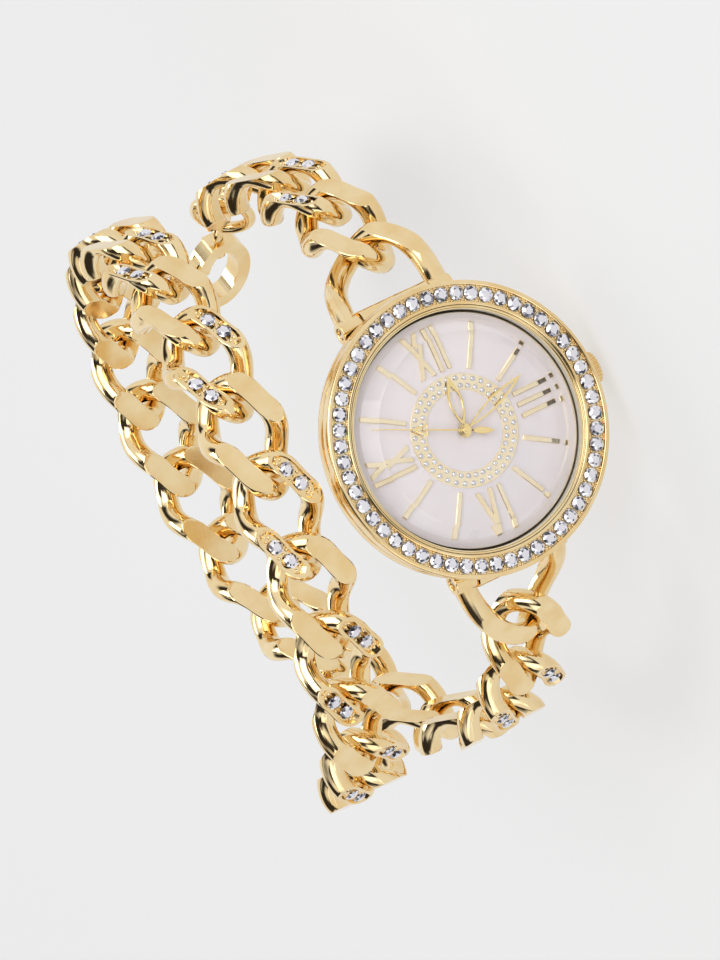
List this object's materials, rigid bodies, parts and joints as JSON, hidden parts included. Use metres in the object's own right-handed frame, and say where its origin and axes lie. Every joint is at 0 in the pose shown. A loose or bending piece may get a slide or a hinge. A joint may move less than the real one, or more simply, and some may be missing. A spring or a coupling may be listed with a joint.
{
  "type": "bracelet watch",
  "caption": "Round stone-set wrist watch on a double-wrap curb chain bracelet with plain and stone-set links, a crown and a claw clasp.",
  "frame": {"origin": "on the axis of the wrist that the chain goes round, level with the middle of the dial", "axes": "+Z along the wrist away from the crown, -Y out of the dial, +X towards twelve o'clock"},
  "size_m": [0.0816, 0.0847, 0.0523],
  "materials": {
    "polished_gold": "polished pale gold plating",
    "satin_gold": "fine polished gold plating",
    "crystal": "clear cut crystal",
    "lens_glass": "clear mineral glass",
    "dial_face": "pearly near-white lacquer",
    "seal_rubber": "soft moulded seal",
    "movement_plastic": "moulded holder",
    "movement_metal": "nickel finished",
    "gear_brass": "cut brass",
    "cell_steel": "pressed steel can",
    "coil_wire": "enamelled copper winding",
    "board": "printed circuit laminate"
  },
  "bodies": {
    "watch_head": {"case_middle": "polished_gold", "case_back": "polished_gold", "seals": "seal_rubber", "bezel": "polished_gold", "bezel_stones": "crystal", "lens": "lens_glass", "dial": "dial_face", "dial_markers": "satin_gold", "dial_band": "satin_gold", "dial_beads": "satin_gold", "movement_holder": "movement_plastic", "main_plate": "movement_metal", "train_bridge": "movement_metal", "battery": "cell_steel", "coil": "coil_wire", "circuit_board": "board", "spring_bars": "movement_metal"},
    "minute_hand_arbor": {"minute_hand": "satin_gold", "cannon_pinion": "gear_brass"},
    "minute_wheel_arbor": {"minute_wheel": "gear_brass"},
    "hour_hand_pipe": {"hour_hand": "satin_gold", "hour_wheel": "gear_brass"},
    "second_hand_arbor": {"second_hand": "satin_gold"},
    "stem": {"winding_stem": "movement_metal"},
    "crown_knob": {"crown": "polished_gold"},
    "end_link_six": {"end_link_six": "polished_gold"},
    "long_side_link_01": {"long_side_link_01": "polished_gold"},
    "long_side_link_02": {"long_side_link_02_stones": "polished_gold"},
    "long_side_link_03": {"long_side_link_03": "polished_gold"},
    "long_side_link_04": {"long_side_link_04_stones": "polished_gold"},
    "long_side_link_05": {"long_side_link_05": "polished_gold"},
    "long_side_link_06": {"long_side_link_06_stones": "polished_gold"},
    "long_side_link_07": {"long_side_link_07": "polished_gold"},
    "long_side_link_08": {"long_side_link_08_stones": "polished_gold"},
    "long_side_link_09": {"long_side_link_09": "polished_gold"},
    "long_side_link_10": {"long_side_link_10_stones": "polished_gold"},
    "long_side_link_11": {"long_side_link_11": "polished_gold"},
    "long_side_link_12": {"long_side_link_12_stones": "polished_gold"},
    "long_side_link_13": {"long_side_link_13": "polished_gold"},
    "long_side_link_14": {"long_side_link_14_stones": "polished_gold"},
    "long_side_link_15": {"long_side_link_15": "polished_gold"},
    "long_side_link_16": {"long_side_link_16_stones": "polished_gold"},
    "long_side_link_17": {"long_side_link_17": "polished_gold"},
    "long_side_link_18": {"long_side_link_18_stones": "polished_gold"},
    "long_side_link_19": {"long_side_link_19": "polished_gold"},
    "long_side_link_20": {"long_side_link_20_stones": "polished_gold"},
    "long_side_link_21": {"long_side_link_21": "polished_gold"},
    "long_side_link_22": {"long_side_link_22_stones": "polished_gold"},
    "long_side_link_23": {"long_side_link_23": "polished_gold"},
    "long_side_link_24": {"long_side_link_24_stones": "polished_gold"},
    "long_side_link_25": {"long_side_link_25": "polished_gold"},
    "end_link_twelve": {"end_link_twelve": "polished_gold"},
    "short_side_link_01": {"short_side_link_01": "polished_gold"},
    "short_side_link_02": {"short_side_link_02_stones": "polished_gold"},
    "short_side_link_03": {"short_side_link_03": "polished_gold"},
    "short_side_link_04": {"short_side_link_04_stones": "polished_gold"},
    "clasp_ring": {"clasp_ring": "polished_gold"},
    "claw_swivel": {"claw_swivel": "polished_gold"},
    "claw_body": {"claw_body": "polished_gold"},
    "claw_lever": {"claw_lever": "polished_gold"}
  },
  "joints": [
    {"name": "minute_hand_turn", "type": "hinge", "parent": "watch_head", "child": "minute_hand_arbor", "pos_m": [0, -0.04125, 0], "axis": [0, 1, 0], "continuous": true},
    {"name": "minute_wheel_turn", "type": "hinge", "parent": "watch_head", "child": "minute_wheel_arbor", "pos_m": [-0.004, -0.0391, 0], "axis": [0, 1, 0], "continuous": true},
    {"name": "hour_hand_turn", "type": "hinge", "parent": "watch_head", "child": "hour_hand_pipe", "pos_m": [0, -0.041, 0], "axis": [0, 1, 0], "continuous": true},
    {"name": "second_hand_turn", "type": "hinge", "parent": "watch_head", "child": "second_hand_arbor", "pos_m": [0, -0.0415, 0], "axis": [0, 1, 0], "continuous": true},
    {"name": "crown_pull", "type": "slide", "parent": "watch_head", "child": "stem", "axis": [0, 0, -1], "range_m": [0, 0.0008]},
    {"name": "crown_turn", "type": "hinge", "parent": "stem", "child": "crown_knob", "pos_m": [0, -0.0386, -0.0195], "axis": [0, 0, -1], "continuous": true},
    {"name": "end_link_six_hinge", "type": "hinge", "parent": "watch_head", "child": "end_link_six", "pos_m": [-0.0174, -0.0367, 0], "axis": [0, 0, 1], "range_deg": [0, 45.84]},
    {"name": "long_side_link_01_hinge", "type": "hinge", "parent": "end_link_six", "child": "long_side_link_01", "pos_m": [-0.02496, -0.02892, -0.0025], "axis": [0, 0, 1], "range_deg": [0, 3.24]},
    {"name": "long_side_link_02_hinge", "type": "hinge", "parent": "long_side_link_01", "child": "long_side_link_02", "pos_m": [-0.03216, -0.0206, -0.0025], "axis": [0, 0, 1], "range_deg": [0, 16.56]},
    {"name": "long_side_link_03_hinge", "type": "hinge", "parent": "long_side_link_02", "child": "long_side_link_03", "pos_m": [-0.0367, -0.01058, -0.00257], "axis": [0, 0, 1], "range_deg": [0, 16.47]},
    {"name": "long_side_link_04_hinge", "type": "hinge", "parent": "long_side_link_03", "child": "long_side_link_04", "pos_m": [-0.0382, 0.0002, -0.00097], "axis": [0, 0, 1], "range_deg": [0, 16.38]},
    {"name": "long_side_link_05_hinge", "type": "hinge", "parent": "long_side_link_04", "child": "long_side_link_05", "pos_m": [-0.03659, 0.01096, 0.00063], "axis": [0, 0, 1], "range_deg": [0, 16.38]},
    {"name": "long_side_link_06_hinge", "type": "hinge", "parent": "long_side_link_05", "child": "long_side_link_06", "pos_m": [-0.03202, 0.02084, 0.00222], "axis": [0, 0, 1], "range_deg": [0, 16.38]},
    {"name": "long_side_link_07_hinge", "type": "hinge", "parent": "long_side_link_06", "child": "long_side_link_07", "pos_m": [-0.02484, 0.02902, 0.00382], "axis": [0, 0, 1], "range_deg": [0, 16.38]},
    {"name": "long_side_link_08_hinge", "type": "hinge", "parent": "long_side_link_07", "child": "long_side_link_08", "pos_m": [-0.01565, 0.03485, 0.00542], "axis": [0, 0, 1], "range_deg": [0, 16.38]},
    {"name": "long_side_link_09_hinge", "type": "hinge", "parent": "long_side_link_08", "child": "long_side_link_09", "pos_m": [-0.00519, 0.03784, 0.00702], "axis": [0, 0, 1], "range_deg": [0, 16.38]},
    {"name": "long_side_link_10_hinge", "type": "hinge", "parent": "long_side_link_09", "child": "long_side_link_10", "pos_m": [0.0057, 0.03777, 0.00861], "axis": [0, 0, 1], "range_deg": [0, 16.38]},
    {"name": "long_side_link_11_hinge", "type": "hinge", "parent": "long_side_link_10", "child": "long_side_link_11", "pos_m": [0.01612, 0.03463, 0.01021], "axis": [0, 0, 1], "range_deg": [0, 16.38]},
    {"name": "long_side_link_12_hinge", "type": "hinge", "parent": "long_side_link_11", "child": "long_side_link_12", "pos_m": [0.02523, 0.02868, 0.01181], "axis": [0, 0, 1], "range_deg": [0, 16.37]},
    {"name": "long_side_link_13_hinge", "type": "hinge", "parent": "long_side_link_12", "child": "long_side_link_13", "pos_m": [0.03228, 0.02042, 0.01353], "axis": [0, 0, 1], "range_deg": [0, 16.31]},
    {"name": "long_side_link_14_hinge", "type": "hinge", "parent": "long_side_link_13", "child": "long_side_link_14", "pos_m": [0.03671, 0.01056, 0.01557], "axis": [0, 0, 1], "range_deg": [0, 16.24]},
    {"name": "long_side_link_15_hinge", "type": "hinge", "parent": "long_side_link_14", "child": "long_side_link_15", "pos_m": [0.0382, -0.00012, 0.01777], "axis": [0, 0, 1], "range_deg": [0, 16.22]},
    {"name": "long_side_link_16_hinge", "type": "hinge", "parent": "long_side_link_15", "child": "long_side_link_16", "pos_m": [0.03664, -0.01078, 0.01998], "axis": [0, 0, 1], "range_deg": [0, 16.24]},
    {"name": "long_side_link_17_hinge", "type": "hinge", "parent": "long_side_link_16", "child": "long_side_link_17", "pos_m": [0.03216, -0.02062, 0.02201], "axis": [0, 0, 1], "range_deg": [0, 16.31]},
    {"name": "long_side_link_18_hinge", "type": "hinge", "parent": "long_side_link_17", "child": "long_side_link_18", "pos_m": [0.02505, -0.02884, 0.02371], "axis": [0, 0, 1], "range_deg": [0, 16.41]},
    {"name": "long_side_link_19_hinge", "type": "hinge", "parent": "long_side_link_18", "child": "long_side_link_19", "pos_m": [0.01585, -0.03475, 0.02494], "axis": [0, 0, 1], "range_deg": [0, 16.49]},
    {"name": "long_side_link_20_hinge", "type": "hinge", "parent": "long_side_link_19", "child": "long_side_link_20", "pos_m": [0.00531, -0.03783, 0.02557], "axis": [0, 0, 1], "range_deg": [0, 16.54]},
    {"name": "long_side_link_21_hinge", "type": "hinge", "parent": "long_side_link_20", "child": "long_side_link_21", "pos_m": [-0.00569, -0.03777, 0.02556], "axis": [0, 0, 1], "range_deg": [0, 16.54]},
    {"name": "long_side_link_22_hinge", "type": "hinge", "parent": "long_side_link_21", "child": "long_side_link_22", "pos_m": [-0.0162, -0.03459, 0.0249], "axis": [0, 0, 1], "range_deg": [0, 16.49]},
    {"name": "long_side_link_23_hinge", "type": "hinge", "parent": "long_side_link_22", "child": "long_side_link_23", "pos_m": [-0.02533, -0.02859, 0.02366], "axis": [0, 0, 1], "range_deg": [0, 16.4]},
    {"name": "long_side_link_24_hinge", "type": "hinge", "parent": "long_side_link_23", "child": "long_side_link_24", "pos_m": [-0.03236, -0.0203, 0.02195], "axis": [0, 0, 1], "range_deg": [0, 16.31]},
    {"name": "long_side_link_25_hinge", "type": "hinge", "parent": "long_side_link_24", "child": "long_side_link_25", "pos_m": [-0.03675, -0.01043, 0.01991], "axis": [0, 0, 1], "range_deg": [0, 16.24]},
    {"name": "end_link_twelve_hinge", "type": "hinge", "parent": "watch_head", "child": "end_link_twelve", "pos_m": [0.0174, -0.0367, 0], "axis": [0, 0, -1], "range_deg": [0, 45.84]},
    {"name": "short_side_link_01_hinge", "type": "hinge", "parent": "end_link_twelve", "child": "short_side_link_01", "pos_m": [0.02496, -0.02892, -0.0025], "axis": [0, 0, -1], "range_deg": [0, 3.24]},
    {"name": "short_side_link_02_hinge", "type": "hinge", "parent": "short_side_link_01", "child": "short_side_link_02", "pos_m": [0.03216, -0.0206, -0.0025], "axis": [0, 0, -1], "range_deg": [0, 16.56]},
    {"name": "short_side_link_03_hinge", "type": "hinge", "parent": "short_side_link_02", "child": "short_side_link_03", "pos_m": [0.0367, -0.01058, -0.0025], "axis": [0, 0, -1], "range_deg": [0, 16.56]},
    {"name": "short_side_link_04_hinge", "type": "hinge", "parent": "short_side_link_03", "child": "short_side_link_04", "pos_m": [0.0382, 0.00031, -0.0025], "axis": [0, 0, -1], "range_deg": [0, 16.56]},
    {"name": "clasp_ring_hinge", "type": "hinge", "parent": "short_side_link_04", "child": "clasp_ring", "pos_m": [0.03652, 0.01119, -0.0025], "axis": [0, 0, -1], "range_deg": [0, 13.16]},
    {"name": "claw_swivel_hinge", "type": "hinge", "parent": "clasp_ring", "child": "claw_swivel", "pos_m": [0.0341, 0.01722, -0.0025], "axis": [0, 0, -1], "range_deg": [0, 16.2]},
    {"name": "claw_turn", "type": "hinge", "parent": "claw_swivel", "child": "claw_body", "pos_m": [0.0341, 0.01722, -0.0025], "axis": [-0.6172, 0.7868, 0], "range_deg": [-60, 60]},
    {"name": "claw_lever_hinge", "type": "hinge", "parent": "claw_body", "child": "claw_lever", "pos_m": [0.03033, 0.02202, 0.00028], "axis": [-0.7868, -0.6172, 0], "range_deg": [0, 20], "stiffness_Nm_per_rad": 0.002, "springref_deg": -11.46}
  ],
  "couplings": [
    {"joint": "minute_wheel_turn", "follows": "minute_hand_turn", "ratio": -0.33333},
    {"joint": "hour_hand_turn", "follows": "minute_hand_turn", "ratio": 0.083333},
    {"joint": "long_side_link_01_hinge", "follows": "end_link_six_hinge", "ratio": 0.070659},
    {"joint": "long_side_link_02_hinge", "follows": "end_link_six_hinge", "ratio": 0.36119},
    {"joint": "long_side_link_03_hinge", "follows": "end_link_six_hinge", "ratio": 0.35927},
    {"joint": "long_side_link_04_hinge", "follows": "end_link_six_hinge", "ratio": 0.35735},
    {"joint": "long_side_link_05_hinge", "follows": "end_link_six_hinge", "ratio": 0.35735},
    {"joint": "long_side_link_07_hinge", "follows": "long_side_link_06_hinge", "ratio": 1},
    {"joint": "long_side_link_08_hinge", "follows": "long_side_link_06_hinge", "ratio": 1},
    {"joint": "long_side_link_09_hinge", "follows": "long_side_link_06_hinge", "ratio": 1},
    {"joint": "long_side_link_10_hinge", "follows": "long_side_link_06_hinge", "ratio": 1},
    {"joint": "long_side_link_11_hinge", "follows": "long_side_link_06_hinge", "ratio": 1},
    {"joint": "long_side_link_13_hinge", "follows": "long_side_link_12_hinge", "ratio": 0.99658},
    {"joint": "long_side_link_14_hinge", "follows": "long_side_link_12_hinge", "ratio": 0.99248},
    {"joint": "long_side_link_15_hinge", "follows": "long_side_link_12_hinge", "ratio": 0.99096},
    {"joint": "long_side_link_16_hinge", "follows": "long_side_link_12_hinge", "ratio": 0.99255},
    {"joint": "long_side_link_17_hinge", "follows": "long_side_link_12_hinge", "ratio": 0.99676},
    {"joint": "long_side_link_19_hinge", "follows": "long_side_link_18_hinge", "ratio": 1.0053},
    {"joint": "long_side_link_20_hinge", "follows": "long_side_link_18_hinge", "ratio": 1.0084},
    {"joint": "long_side_link_21_hinge", "follows": "long_side_link_18_hinge", "ratio": 1.0084},
    {"joint": "long_side_link_23_hinge", "follows": "long_side_link_22_hinge", "ratio": 0.99472},
    {"joint": "long_side_link_24_hinge", "follows": "long_side_link_22_hinge", "ratio": 0.98914},
    {"joint": "long_side_link_25_hinge", "follows": "long_side_link_22_hinge", "ratio": 0.98508},
    {"joint": "short_side_link_01_hinge", "follows": "end_link_twelve_hinge", "ratio": 0.070659},
    {"joint": "short_side_link_02_hinge", "follows": "end_link_twelve_hinge", "ratio": 0.36119},
    {"joint": "short_side_link_03_hinge", "follows": "end_link_twelve_hinge", "ratio": 0.36119},
    {"joint": "short_side_link_04_hinge", "follows": "end_link_twelve_hinge", "ratio": 0.36119},
    {"joint": "clasp_ring_hinge", "follows": "end_link_twelve_hinge", "ratio": 0.28706},
    {"joint": "claw_swivel_hinge", "follows": "end_link_twelve_hinge", "ratio": 0.35349}
  ]
}
